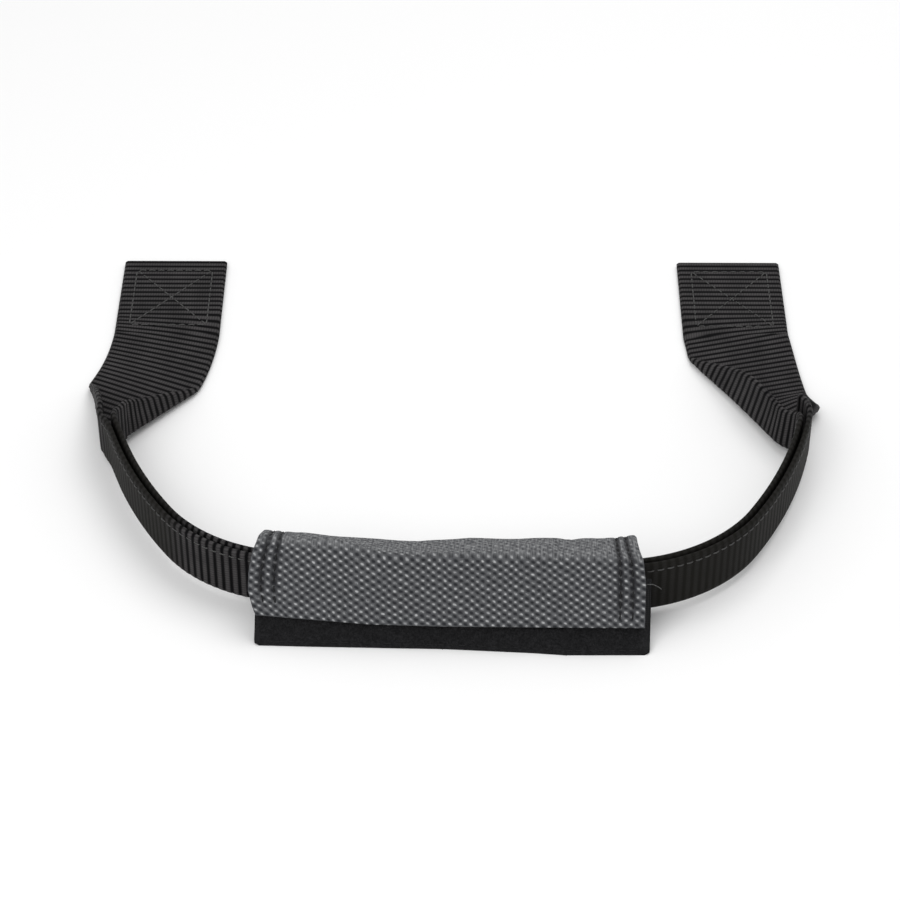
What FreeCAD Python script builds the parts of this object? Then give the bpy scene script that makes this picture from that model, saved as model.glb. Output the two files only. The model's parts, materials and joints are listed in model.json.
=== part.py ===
import FreeCAD, Part
import math
import os

# Carry handle of an instrument case: one ribbed webbing strap, folded lengthwise over most of
# its run, with a padded grip wrapped round it and closed by a hook-and-loop flap.
# Millimetres. +X along the grip, +Y from the grip to the case, +Z up from the surface it lies on.

# Webbing, and how far its two ends stand apart along the case edge
WEB_WIDTH = 38.0
WEB_THICK = 2.0
TAB_SPACING = 206.0
TAB_LENGTH = 45.0
EDGE_TO_GRIP = 152.5
GRIP_SKEW = 2.0

# Folded strap from the middle of the grip outwards: a straight, then bends (radius, degrees)
STRAIGHT_HALF = 50.0
RIGHT_BENDS = [(56.0, 61.0), (169.0, 20.0)]
LEFT_BENDS = [(53.0, 54.0), (160.0, 15.0)]
RIGHT_RUN_OUT = 6.0
LEFT_RUN_OUT = 24.0

# From the case edge the strap lies flat and spreads outwards, then its two halves fold up along
# creases that run in from its edges to its middle; the inner crease starts later
FLAT_RUN = 30.0
FLAT_SPREAD = 5.0
INNER_START = 0.3
INNER_END = 0.95
FOLD_STATIONS = 9
EDGE_LIP = 0.1
PLY_GAP = 0.05

# Wrap grip: its layers and its section, measured back and up from its front foot
GRIP_LENGTH = 126.0
COVER_THICK = 0.7
FOAM_THICK = 1.2
LINING_THICK = 0.4
TAPE_THICK = 1.0
HOOK_THICK = 1.1
LINING_SHOW = 1.5
LINING_PAST = 0.5
FOAM_INSET = 3.0
GRIP_DEPTH = 35.0
RIDGE_BACK = 14.6
RIDGE_HEIGHT = 27.2
SHOULDER_BACK = 29.0
SHOULDER_HEIGHT = 22.8
CORNER_RADIUS = 4.0
STRAP_BACK = 18.5
FLAP_LENGTH = 22.0
UNDER_FLAP_LENGTH = 24.4
HOOK_WIDTH = 15.0
HOOK_INSET = 0.6
HOOK_END_INSET = 1.0

# Thread and clearances
THREAD = 0.5
THREAD_RISE = 0.2
STITCH = 2.4
STITCH_PITCH = 3.4
SEAM_DROP = 3.0
END_ROWS = (4.0, 8.0)
ROW_INSET = 1.0
ROW_END_GAP = 3.0
TAPE_ROW_INSET = 1.6
ANCHOR_MARGIN = 5.0
CROSS_INSET = 0.12
CLEARANCE = 0.3
CLOSURE_GAP = 0.5

LAYERS = COVER_THICK + FOAM_THICK + LINING_THICK
STRAP_LOW = LAYERS + CLEARANCE
FOLD_HEIGHT = WEB_WIDTH / 2.0
HALF_WEB = WEB_WIDTH / 2.0
HALF_GRIP = GRIP_LENGTH / 2.0

V = FreeCAD.Vector
os.makedirs("parts", exist_ok=True)


# ---- Strap: line-and-arc paths seen from above, for one side, mirrored for the left ----

def follow(start, heading, bends, run_out):
    """Pieces of a path, each as its first, middle and last station (x, y, heading in degrees)."""
    pieces = []
    here = (start[0], start[1], heading)
    for radius, turn in bends:
        x, y, angle = here
        centre_x = x - radius * math.sin(math.radians(angle))
        centre_y = y + radius * math.cos(math.radians(angle))
        stations = []
        for part in (0.0, 0.5, 1.0):
            now = math.radians(angle + part * turn)
            stations.append((centre_x + radius * math.sin(now),
                             centre_y - radius * math.cos(now), angle + part * turn))
        pieces.append(stations)
        here = stations[-1]
    x, y, angle = here
    stations = []
    for part in (0.0, 0.5, 1.0):
        stations.append((x + part * run_out * math.cos(math.radians(angle)),
                         y + part * run_out * math.sin(math.radians(angle)), angle))
    pieces.append(stations)
    return pieces


def beside(station, offset, height, side):
    """A point to the left of a station on the path; side -1 mirrors it to the left of the part."""
    x, y, angle = station
    across = math.radians(angle)
    return V(side * (x - offset * math.sin(across)), y + offset * math.cos(across), height)


def path_edge(piece, offset, height, side):
    first, middle, last = [beside(s, offset, height, side) for s in piece]
    if piece[0][2] == piece[2][2]:
        return Part.LineSegment(first, last).toShape()
    return Part.Arc(first, middle, last).toShape()


def folded_ribbon(pieces, side):
    """The strap standing on edge, two plies thick, along a path."""
    low = STRAP_LOW
    edges = [path_edge(p, offset, low, side) for p in pieces for offset in (-WEB_THICK, WEB_THICK)]
    for station in (pieces[0][0], pieces[-1][2]):
        edges.append(Part.LineSegment(beside(station, -WEB_THICK, low, side),
                                      beside(station, WEB_THICK, low, side)).toShape())
    outline = Part.Wire(Part.__sortEdges__(edges))
    return Part.Face(outline).extrude(V(0, 0, FOLD_HEIGHT))


def fold_section(station, height, inner_crease, outer_crease, side):
    """The strap's section where it folds: flat between two creases, its edges standing up."""
    section = []
    for sign, crease in ((1, inner_crease), (-1, outer_crease)):
        folded = 1 - crease / HALF_WEB
        wall = crease + WEB_THICK * folded
        top = WEB_THICK + max((FOLD_HEIGHT - WEB_THICK) * folded, EDGE_LIP)
        inside = max(wall - WEB_THICK, PLY_GAP)
        half = [(wall, 0.0), (wall, top), (inside, top), (inside, WEB_THICK)]
        section += [(sign * offset, rise) for offset, rise in half[::sign]]
    points = [beside(station, offset, height + rise, side) for offset, rise in section]
    return Part.makePolygon(points + points[:1])


def smooth(value):
    value = min(max(value, 0.0), 1.0)
    return value * value * (3 - 2 * value)


def shoulder_fold(leg_end, side):
    """From flat at the case edge to folded at the leg; its flat end is a hinge knuckle."""
    middle = TAB_SPACING / 2
    spread = math.degrees(math.atan2(FLAT_SPREAD, FLAT_RUN))
    hinge_end = (middle, 0.0, 90.0)
    flat_end = (middle + FLAT_SPREAD, -FLAT_RUN, 90.0 + spread)
    corners = [beside(hinge_end, -HALF_WEB, 0, side), beside(hinge_end, HALF_WEB, 0, side),
               beside(flat_end, HALF_WEB, 0, side), beside(flat_end, -HALF_WEB, 0, side)]
    flat = Part.Face(Part.makePolygon(corners + corners[:1])).extrude(V(0, 0, WEB_THICK))
    sections = []
    for index in range(FOLD_STATIONS):
        part = index / (FOLD_STATIONS - 1)
        station = tuple(a + part * (b - a) for a, b in zip(flat_end, leg_end))
        inner = min(max((INNER_END - part) / (INNER_END - INNER_START), 0.0), 1.0)
        sections.append(fold_section(station, STRAP_LOW * smooth(part), HALF_WEB * inner,
                                     HALF_WEB * (1 - part), side))
    fold = Part.makeLoft(sections, True, True)
    knuckle = Part.makeCylinder(WEB_THICK / 2, WEB_WIDTH,
                                V(side * middle - HALF_WEB, 0, WEB_THICK / 2), V(1, 0, 0))
    return fold.fuse([flat, knuckle])


def anchor_tab(side):
    """The flat end of the strap, fixed to the case; cut back to clear the knuckle as it turns."""
    start = WEB_THICK / 2 + CLEARANCE
    corner = V(side * TAB_SPACING / 2 - HALF_WEB, start, 0)
    return Part.makeBox(WEB_WIDTH, TAB_LENGTH, WEB_THICK, corner)


# ---- Stitching: rows of short flat stitches on a surface ----

def stitch(centre, along, normal):
    """One stitch lying on a surface at centre, along a direction."""
    along = V(along).normalize()
    normal = V(normal).normalize()
    across = normal.cross(along)
    corner = centre - along * (STITCH / 2) - across * (THREAD / 2)
    points = [corner, corner + along * STITCH, corner + along * STITCH + across * THREAD,
              corner + across * THREAD]
    return Part.Face(Part.makePolygon(points + points[:1])).extrude(normal * THREAD_RISE)


def stitch_row(first, last, normal):
    """Evenly spaced stitches on the straight line between two points."""
    run = last - first
    count = max(int(run.Length // STITCH_PITCH), 1)
    return [stitch(first + run * ((n + 0.5) / count), run, normal) for n in range(count)]


def anchor_stitching(side):
    """A box and a cross sewn through the tab into the case, pulled in flush with its face."""
    middle = side * TAB_SPACING / 2
    left = middle - HALF_WEB + ANCHOR_MARGIN
    right = middle + HALF_WEB - ANCHOR_MARGIN
    tab_end = WEB_THICK / 2 + CLEARANCE + TAB_LENGTH
    near = tab_end - WEB_WIDTH + ANCHOR_MARGIN
    far = tab_end - ANCHOR_MARGIN
    low = WEB_THICK - THREAD_RISE
    corners = [V(left, near, low), V(right, near, low), V(right, far, low), V(left, far, low)]
    stitches = []
    for first, last in zip(corners, corners[1:] + corners[:1]):
        stitches += stitch_row(first, last, V(0, 0, 1))
    for first, last in ((corners[0], corners[2]), (corners[1], corners[3])):
        run = last - first
        before = first + run * (0.5 - CROSS_INSET / 2)
        after = first + run * (0.5 + CROSS_INSET / 2)
        stitches += stitch_row(first + run * CROSS_INSET, before, V(0, 0, 1))
        stitches += stitch_row(after, last - run * CROSS_INSET, V(0, 0, 1))
    return Part.makeCompound(stitches)


def fold_seam(pieces, side):
    """The seam that holds the two halves of the folded strap together, below their edges."""
    height = STRAP_LOW + FOLD_HEIGHT - SEAM_DROP
    stitches = []
    for piece in pieces[:-1]:
        x, y, angle = piece[0]
        turn = piece[2][2] - angle
        radius = (V(piece[2][0], piece[2][1], 0) - V(x, y, 0)).Length
        radius = radius / (2 * math.sin(math.radians(turn) / 2))
        centre = V(x - radius * math.sin(math.radians(angle)),
                   y + radius * math.cos(math.radians(angle)), 0)
        count = int(radius * math.radians(turn) // STITCH_PITCH)
        for number in range(count):
            now = angle + turn * (number + 0.5) / count
            out = V(math.sin(math.radians(now)), -math.cos(math.radians(now)), 0)
            station = (centre.x + radius * out.x, centre.y + radius * out.y, now)
            along = V(side * math.cos(math.radians(now)), math.sin(math.radians(now)), 0)
            for offset in (-WEB_THICK, WEB_THICK):
                sag = STITCH ** 2 / (8 * (radius - WEB_THICK)) if offset > 0 else 0.0
                spot = beside(station, offset + sag, height, side)
                facing = V(out)
                facing.x = side * facing.x
                stitches.append(stitch(spot, along, facing * (1 if offset < 0 else -1)))
    return Part.makeCompound(stitches)


# ---- Wrap grip: layered strips round a section, run along X ----

def direction(first, last):
    length = math.hypot(last[0] - first[0], last[1] - first[1])
    return ((last[0] - first[0]) / length, (last[1] - first[1]) / length)


def moved_in(line, distance):
    """An open line moved to its left by a distance, with mitred corners."""
    result = []
    for index, (y, z) in enumerate(line):
        before = direction(line[max(index - 1, 0)], line[max(index, 1)])
        after = direction(line[min(index, len(line) - 2)], line[min(index + 1, len(line) - 1)])
        normal = (-before[1] - after[1], before[0] + after[0])
        scale = distance * 2 / (normal[0] ** 2 + normal[1] ** 2)
        result.append((y + normal[0] * scale, z + normal[1] * scale))
    return result


def rounded(line, radii):
    """An open line with its inner corners turned into short runs of chords on arcs; 0 stays sharp."""
    result = [line[0]]
    for before, corner, after, radius in zip(line, line[1:], line[2:], radii):
        if radius == 0:
            result.append(corner)
            continue
        back = direction(corner, before)
        ahead = direction(corner, after)
        half = math.acos(back[0] * ahead[0] + back[1] * ahead[1]) / 2
        reach = radius / math.tan(half)
        middle = (back[0] + ahead[0], back[1] + ahead[1])
        length = math.hypot(*middle)
        depth = radius / math.sin(half)
        centre = (corner[0] + middle[0] / length * depth, corner[1] + middle[1] / length * depth)
        first = math.atan2(corner[1] + back[1] * reach - centre[1],
                           corner[0] + back[0] * reach - centre[0])
        sweep = math.pi - 2 * half
        for step in range(5):
            angle = first + sweep * step / 4
            result.append((centre[0] + radius * math.cos(angle), centre[1] + radius * math.sin(angle)))
    result.append(line[-1])
    return result


def slab(outer, inner, left, right):
    """A solid between two lines of (back, up) points, run along X; back is from the strap."""
    points = [V(left, y - STRAP_BACK, z) for y, z in outer + inner[::-1]]
    return Part.Face(Part.makePolygon(points + points[:1])).extrude(V(right - left, 0, 0))


def along_slope(distance, depth):
    """A point on the front slope: distance up it from the foot, depth in from the tape's face."""
    return (distance * math.cos(SLOPE) + depth * math.sin(SLOPE),
            distance * math.sin(SLOPE) - depth * math.cos(SLOPE))


def section_row(x, first, last, inset):
    """A row of stitches on one flat side of the section, from first to last in (back, up)."""
    way = direction(first, last)
    outward = V(0, way[1], -way[0])
    start = V(x, first[0] + way[0] * inset - STRAP_BACK, first[1] + way[1] * inset)
    end = V(x, last[0] - way[0] * inset - STRAP_BACK, last[1] - way[1] * inset)
    return stitch_row(start, end, outward)


# The flap lies over the loop tape of the under-flap, so the front slope's angle follows from
# the ridge and from how thick the flap is where it closes.
FLAP_STACK = COVER_THICK + LINING_THICK + HOOK_THICK + CLOSURE_GAP
ridge_reach = math.hypot(RIDGE_BACK, RIDGE_HEIGHT)
SLOPE = math.atan2(RIDGE_HEIGHT, RIDGE_BACK) - math.asin(FLAP_STACK / ridge_reach)
ridge_up_slope = math.sqrt(ridge_reach ** 2 - FLAP_STACK ** 2)
RIDGE = (RIDGE_BACK, RIDGE_HEIGHT)
FLAP_EDGE = along_slope(ridge_up_slope - FLAP_LENGTH, -FLAP_STACK)
FOOT = (TAPE_THICK / math.sin(SLOPE), 0.0)
BACK_FOOT = (GRIP_DEPTH, 0.0)
SHOULDER = (SHOULDER_BACK, SHOULDER_HEIGHT)
UNDER_TOP = along_slope(UNDER_FLAP_LENGTH, TAPE_THICK)

top_way = direction(SHOULDER, RIDGE)
flap_way = direction(RIDGE, FLAP_EDGE)
half_gap = CLEARANCE / 2
body_ridge = (RIDGE[0] - top_way[0] * half_gap, RIDGE[1] - top_way[1] * half_gap)
flap_ridge = (RIDGE[0] + flap_way[0] * half_gap, RIDGE[1] + flap_way[1] * half_gap)
body_skin = rounded([UNDER_TOP, FOOT, BACK_FOOT, SHOULDER, body_ridge],
                    [0, CORNER_RADIUS, CORNER_RADIUS])
body_skin.append((body_ridge[0] + flap_way[0], body_ridge[1] + flap_way[1]))
flap_skin = [(flap_ridge[0] - top_way[0], flap_ridge[1] - top_way[1]), flap_ridge, FLAP_EDGE]


def body_layer(near, far, left, right):
    return slab(moved_in(body_skin, near)[:-1], moved_in(body_skin, far)[:-1], left, right)


def flap_layer(near, far, left, right):
    return slab(moved_in(flap_skin, near)[1:], moved_in(flap_skin, far)[1:], left, right)


def slope_strip(low, high, near, far, left, right):
    """A tape on the front slope between two heights up it and two depths in it."""
    outer = [along_slope(high, near), along_slope(low, near)]
    inner = [along_slope(high, far), along_slope(low, far)]
    return slab(outer, inner, left, right)


cover_left = -HALF_GRIP
cover_right = HALF_GRIP - LINING_SHOW
lining_left = -HALF_GRIP + LINING_SHOW
lining_right = HALF_GRIP + LINING_PAST
tape_low = TAPE_THICK / math.tan(SLOPE)
hook_low = ridge_up_slope - FLAP_LENGTH + HOOK_INSET
hook_left = lining_left + HOOK_END_INSET
hook_right = lining_right - HOOK_END_INSET


def tape_stitching(low, high, depth, outward, left, right):
    """Two rows of stitches along the long edges of a tape on the front slope."""
    stitches = []
    for distance in (low + TAPE_ROW_INSET, high - TAPE_ROW_INSET):
        y, z = along_slope(distance, depth)
        stitches += stitch_row(V(left + ROW_END_GAP, y - STRAP_BACK, z),
                               V(right - ROW_END_GAP, y - STRAP_BACK, z), outward)
    return Part.makeCompound(stitches)


def grip_end_rows(xs):
    stitches = []
    for x in xs:
        stitches += section_row(x, BACK_FOOT, SHOULDER, CORNER_RADIUS + ROW_INSET)
        stitches += section_row(x, SHOULDER, RIDGE, CORNER_RADIUS + ROW_INSET)
    return Part.makeCompound(stitches)


def flap_end_rows(xs):
    stitches = []
    for x in xs:
        stitches += section_row(x, RIDGE, FLAP_EDGE, ROW_INSET)
    return Part.makeCompound(stitches)


# ---- Build in the case's frame, then turn so the grip lies along X, and centre ----

nodes = {}
for name, side, bends, run_out, skew in (("left", -1, LEFT_BENDS, LEFT_RUN_OUT, GRIP_SKEW),
                                         ("right", 1, RIGHT_BENDS, RIGHT_RUN_OUT, -GRIP_SKEW)):
    tilt = math.radians(skew)
    start = (STRAIGHT_HALF * math.cos(tilt), -EDGE_TO_GRIP + STRAIGHT_HALF * math.sin(tilt))
    pieces = follow(start, skew, bends, run_out)
    nodes[name + "_anchor_stitching"] = anchor_stitching(side)
    nodes[name + "_anchor_tab"] = anchor_tab(side).cut(nodes[name + "_anchor_stitching"])
    nodes[name + "_shoulder_fold"] = shoulder_fold(pieces[-1][2], side)
    nodes[name + "_leg"] = folded_ribbon(pieces, side)
    nodes[name + "_fold_seam"] = fold_seam(pieces, side)

grip_nodes = {
    "grip_span": Part.makeBox(2 * STRAIGHT_HALF, 2 * WEB_THICK, FOLD_HEIGHT,
                              V(-STRAIGHT_HALF, -WEB_THICK, STRAP_LOW)),
    "grip_cover": body_layer(0.0, COVER_THICK, cover_left, cover_right),
    "grip_foam": body_layer(COVER_THICK, COVER_THICK + FOAM_THICK,
                            cover_left + FOAM_INSET, cover_right - FOAM_INSET),
    "grip_lining": body_layer(COVER_THICK + FOAM_THICK, LAYERS, lining_left, lining_right),
    "loop_tape": slope_strip(tape_low, UNDER_FLAP_LENGTH - CLEARANCE, 0.0, TAPE_THICK,
                             lining_left, lining_right),
    "flap_cover": flap_layer(0.0, COVER_THICK, cover_left, cover_right),
    "flap_lining": flap_layer(COVER_THICK, COVER_THICK + LINING_THICK, lining_left, lining_right),
    "hook_tape": slope_strip(hook_low, hook_low + HOOK_WIDTH, -CLOSURE_GAP - HOOK_THICK,
                             -CLOSURE_GAP, hook_left, hook_right),
}
outward = V(0, -math.sin(SLOPE), math.cos(SLOPE))
grip_nodes["loop_tape_stitching"] = tape_stitching(
    tape_low, UNDER_FLAP_LENGTH - CLEARANCE, 0.0, outward, lining_left, lining_right)
grip_nodes["hook_tape_stitching"] = tape_stitching(
    hook_low, hook_low + HOOK_WIDTH, -CLOSURE_GAP, outward * -1, hook_left, hook_right)
for name, rows in (("left", [cover_left + row for row in END_ROWS]),
                   ("right", [cover_right - row for row in END_ROWS])):
    grip_nodes[name + "_grip_stitching"] = grip_end_rows(rows)
    grip_nodes[name + "_flap_stitching"] = flap_end_rows(rows)

for name, shape in grip_nodes.items():
    shape.rotate(V(0, 0, 0), V(0, 0, 1), -GRIP_SKEW)
    shape.translate(V(0, -EDGE_TO_GRIP, 0))
    nodes[name] = shape

box = FreeCAD.BoundBox()
for shape in nodes.values():
    shape.rotate(V(0, 0, 0), V(0, 0, 1), GRIP_SKEW)
    box.add(shape.optimalBoundingBox(False, False))

for name, shape in nodes.items():
    shape.translate(V(-box.Center.x, -box.Center.y, -box.ZMin))
    shape.exportStep("parts/" + name + ".step")
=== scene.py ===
import json
import math

import bpy
import numpy as np
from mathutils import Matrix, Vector


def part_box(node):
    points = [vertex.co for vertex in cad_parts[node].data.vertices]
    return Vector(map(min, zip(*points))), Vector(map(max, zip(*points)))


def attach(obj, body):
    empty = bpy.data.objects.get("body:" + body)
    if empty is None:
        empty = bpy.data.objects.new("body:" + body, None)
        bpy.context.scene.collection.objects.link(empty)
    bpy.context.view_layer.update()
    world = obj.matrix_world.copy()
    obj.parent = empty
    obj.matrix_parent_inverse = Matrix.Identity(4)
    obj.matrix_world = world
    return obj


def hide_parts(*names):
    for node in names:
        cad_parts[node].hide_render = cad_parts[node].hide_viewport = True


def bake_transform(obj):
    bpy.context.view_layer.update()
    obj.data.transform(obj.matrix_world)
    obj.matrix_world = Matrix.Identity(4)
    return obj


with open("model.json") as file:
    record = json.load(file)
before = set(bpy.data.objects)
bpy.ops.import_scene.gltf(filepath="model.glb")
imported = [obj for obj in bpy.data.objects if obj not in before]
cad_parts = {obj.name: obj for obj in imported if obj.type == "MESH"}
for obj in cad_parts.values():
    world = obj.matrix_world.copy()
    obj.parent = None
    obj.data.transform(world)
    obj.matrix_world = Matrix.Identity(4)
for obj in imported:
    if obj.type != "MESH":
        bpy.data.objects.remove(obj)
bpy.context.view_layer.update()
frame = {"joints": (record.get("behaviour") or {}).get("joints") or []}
bpy.ops.object.select_all(action="DESELECT")


# ---- Webbing strap ----
# One length of black nylon webbing, woven with ribs across it. Its flat ends are sewn into the
# case; between them it spreads outwards, folds lengthwise and stands on edge through the grip.

MM = 0.001
WEB_WIDTH = 38 * MM
WEB_HALF_THICK = 0.85 * MM
SELVEDGE = 1.2 * MM
SELVEDGE_THIN = 0.35
RIB_PITCH = 2.8 * MM
RIB_RISE = 0.17 * MM
RIB_BLUNT = 0.6
YARN_PITCH = 0.95
WEB_STEP = 0.62 * MM
WEB_COLUMNS = 45
LINE_STEP = 0.25 * MM

# The strap's middle line, with 1 for the right side and -1 for the left: a straight, bends of
# these radii and degrees, a run out, the flat point by the case and the hinge at its edge. The
# points are millimetres from the case edge, the leans are degrees, and a pull shapes each curve
STRAIGHT_HALF = 50 * MM
BENDS = {1: [(56, 61), (169, 20)], -1: [(53, 54), (160, 15)]}
RUN_OUT = {1: 0.0, -1: 18 * MM}
ANCHOR_X = 103
FLAT_POINT = {1: (106.6, -39), -1: (107.8, -31)}
FLAT_LEAN = {1: 8, -1: 15}
HINGE_LEAN = {1: 6, -1: 3}
LEG_PULL, FOLD_PULL = 8.5 * MM, 15.5 * MM
FLAT_PULL, HINGE_PULL = 10 * MM, 12 * MM
TAB_RUN = 46.3 * MM
HINGE_BEND = 7 * MM
HINGE_FLAT = 12 * MM

# The folds: how tight a crease is, how far its bulge stands out of its route, how long it takes
# to close once it has run out, and how far the folded halves turn up
CREASE = 1.6 * MM
CREASE_OUT = 2 * MM
LOOSE_RUN = 16 * MM
START_SLACK = 0.5 * MM
ROUTE_POINTS = 200
FOLD_ANGLE = 89
INNER_LEAN = {1: 12, -1: 2}
# Where the two creases run, from the strap's edge to the leg, in millimetres: x out along the
# case edge, y in under it
INNER_CREASE = {1: [(79, -5), (84.5, -13.9), (97.6, -37.3), (111.8, -66)],
                -1: [(86.5, -31.8), (111.2, -63.6)]}
OUTER_CREASE = {1: [(129.2, -46), (121.2, -57), (123, -65.5), (122.8, -70)],
                -1: [(128.1, -33.2), (125.2, -42), (121.8, -59.2), (120.4, -67)]}

# Ribs show less from a little past the grip to the end of the leg, and slant in the fold
GRIP_END = 62 * MM
PLAIN_START = {1: -24 * MM, -1: 22 * MM}
PLAIN_FADE = 18 * MM
PLAIN_PAST_LEG, LEG_FADE = 4 * MM, 14 * MM
PLAIN_MOST = 0.85
RIB_SKEW = 0.2
SKEW_FROM, SKEW_FADE, SKEW_OUT = 8 * MM, 12 * MM, 15 * MM

swing = next(j for j in frame["joints"] if j["name"] == "handle_swing")
case_edge = np.array(swing["pos_m"][:2])
case_along = -np.array(swing["axis"][:2])
case_back = np.array([-case_along[1], case_along[0]])
span_low, span_high = (np.array(corner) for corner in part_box("grip_span"))
grip_middle = (span_low[:2] + span_high[:2]) / 2
strap_low = span_low[2]


def smooth(value):
    value = np.clip(value, 0.0, 1.0)
    return value * value * (3 - 2 * value)


def at_case(x, y, z=0.0):
    """A point from the middle of the case edge: x along it, y in under the case."""
    return np.append(case_edge + case_along * x + case_back * y, z)


def arch(start, pull, pull_back, end, count=60):
    """Points on a cubic curve between two points, with the two points that pull it."""
    t = np.linspace(0, 1, count)[1:, None]
    return (start * (1 - t) ** 3 + pull * 3 * t * (1 - t) ** 2
            + pull_back * 3 * t * t * (1 - t) + end * t ** 3)


def strap_line(side):
    """The strap's middle from above, from the grip's middle out; the left side is mirrored.
    With it, how far along it the leg ends and the hinge lies."""
    line, here, heading = [np.zeros(2)], np.zeros(2), 0.0
    runs = [(STRAIGHT_HALF, 0.0)]
    runs += [(r * MM * math.radians(turn), math.radians(turn)) for r, turn in BENDS[side]]
    for length, turn in runs + [(RUN_OUT[side], 0.0)]:
        steps = math.ceil(length / LINE_STEP)
        for _ in range(steps):
            heading += turn / steps / 2
            here = here + length / steps * np.array([math.cos(heading), math.sin(heading)])
            heading += turn / steps / 2
            line.append(here)
    ahead = np.array([math.cos(heading), math.sin(heading)])
    hinge = from_grip(side, ANCHOR_X, 0)
    inward = (from_grip(side, ANCHOR_X, 1) - hinge) / MM
    x, y = FLAT_POINT[side]
    flat = from_grip(side, x, y)
    lean = leaning(side, FLAT_LEAN[side])
    marks = [len(line)]
    line += list(arch(here, here + ahead * LEG_PULL, flat - lean * FOLD_PULL, flat))
    line += list(arch(flat, flat + lean * FLAT_PULL,
                      hinge - leaning(side, HINGE_LEAN[side]) * HINGE_PULL, hinge))
    marks.append(len(line))
    line.append(hinge + inward * TAB_RUN)
    line = np.array(line)
    reach = np.append(0, np.cumsum(np.linalg.norm(np.diff(line, axis=0), axis=1)))
    count = round(reach[-1] / WEB_STEP)
    even = np.linspace(0, reach[-1], count + 1)
    places = np.stack([np.interp(even, reach, line[:, k]) for k in (0, 1)], axis=1)
    return even, places, [reach[m - 1] for m in marks]


def from_grip(side, x, y):
    """A place in millimetres from the case edge, as seen from the grip's middle."""
    point = at_case(side * x * MM, y * MM)[:2] - grip_middle
    return np.array([point[0] * side, point[1]])


def leaning(side, degrees):
    """The way towards the case, leaning in by some degrees."""
    lean = math.radians(degrees)
    way = from_grip(side, -math.sin(lean), math.cos(lean)) - from_grip(side, 0, 0)
    return way / MM


def crease_distance(side, route, places, heading, sign, along):
    """How far the crease is from the strap's middle, at each place along the strap."""
    points = np.array([from_grip(side, x, y) for x, y in route])
    reach = np.append(0, np.cumsum(np.linalg.norm(np.diff(points, axis=0), axis=1)))
    fine = np.linspace(0, reach[-1], ROUTE_POINTS)
    points = np.stack([np.interp(fine, reach, points[:, k]) for k in (0, 1)], axis=1)
    gap = points[None] - places[:, None]
    ahead = (gap * heading[:, None]).sum(axis=2)
    beside = gap[..., 1] * heading[:, None, 0] - gap[..., 0] * heading[:, None, 1]
    nearest = np.abs(ahead).argmin(axis=1)
    rows = np.arange(len(places))
    distance = sign * beside[rows, nearest] - CREASE_OUT
    past_start = ahead[rows, 0] < -START_SLACK
    distance = np.where(past_start & (nearest == 0), WEB_WIDTH, distance)
    last = np.abs(ahead[:, -1]).argmin()
    closing = 1 - smooth((along[last] - along) / LOOSE_RUN)
    distance = np.where(along < along[last], distance[last] * closing, distance)
    return np.clip(distance, 0, WEB_WIDTH / 2)


def half_strap(side):
    """The strap's skin from the grip's middle to one end: a grid of points, and where each one
    lies on the flat webbing: across it, along it, and how plainly the ribs stand out there."""
    along, places, (leg_end, hinge) = strap_line(side)
    heading = np.gradient(places, axis=0)
    heading /= np.linalg.norm(heading, axis=1)[:, None]
    inner = crease_distance(side, INNER_CREASE[side], places, heading, 1, along)
    outer = crease_distance(side, OUTER_CREASE[side], places, heading, -1, along)
    half = WEB_WIDTH / 2
    width = np.linspace(-half, half, WEB_COLUMNS)
    between = (width[1:] + width[:-1]) / 2
    opened = inner / half
    lean = np.radians(FOLD_ANGLE + INNER_LEAN[side] * np.sin(np.pi * np.clip(opened, 0, 1)))
    crease = np.where(between > 0, inner[:, None], outer[:, None])
    most = np.where(between > 0, lean[:, None], math.radians(FOLD_ANGLE))
    angle = most * np.clip((np.abs(between) - crease) / CREASE, 0, 1)
    step = width[1] - width[0]
    middle = WEB_COLUMNS // 2
    offset, rise = np.zeros((2, len(along), WEB_COLUMNS))
    offset[:, middle + 1:] = np.cumsum(np.cos(angle[:, middle:]), axis=1) * step
    rise[:, middle + 1:] = np.cumsum(np.sin(angle[:, middle:]), axis=1) * step
    offset[:, :middle] = -np.cumsum(np.cos(angle[:, middle - 1::-1]), axis=1)[:, ::-1] * step
    rise[:, :middle] = np.cumsum(np.sin(angle[:, middle - 1::-1]), axis=1)[:, ::-1] * step
    low = strap_low * smooth((hinge - along - HINGE_FLAT) / (hinge - leg_end - HINGE_FLAT))
    skin = np.zeros((len(along), WEB_COLUMNS, 3))
    skin[..., 0] = side * (places[:, :1] - heading[:, 1:] * offset) + grip_middle[0]
    skin[..., 1] = places[:, 1:] + heading[:, :1] * offset + grip_middle[1]
    skin[..., 2] = low[:, None] + WEB_HALF_THICK + RIB_RISE + rise
    plain = smooth((along - GRIP_END - PLAIN_START[side]) / PLAIN_FADE)
    plain *= smooth((leg_end + PLAIN_PAST_LEG - along) / LEG_FADE)
    lay = np.zeros_like(skin)
    lay[..., 0] = width / MM
    skewed = smooth((along - leg_end - SKEW_FROM) / SKEW_FADE)
    skewed *= RIB_SKEW * (1 - smooth((along - hinge) / SKEW_OUT))
    lay[..., 1] = side * (along[:, None] + skewed[:, None] * width) / MM
    lay[..., 2] = 1 - PLAIN_MOST * plain[:, None]
    return skin, lay


def facing(skin):
    """Which way a grid of points faces, at each of them."""
    normal = np.cross(np.gradient(skin, axis=0), np.gradient(skin, axis=1))
    return normal / np.linalg.norm(normal, axis=2, keepdims=True)


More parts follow.
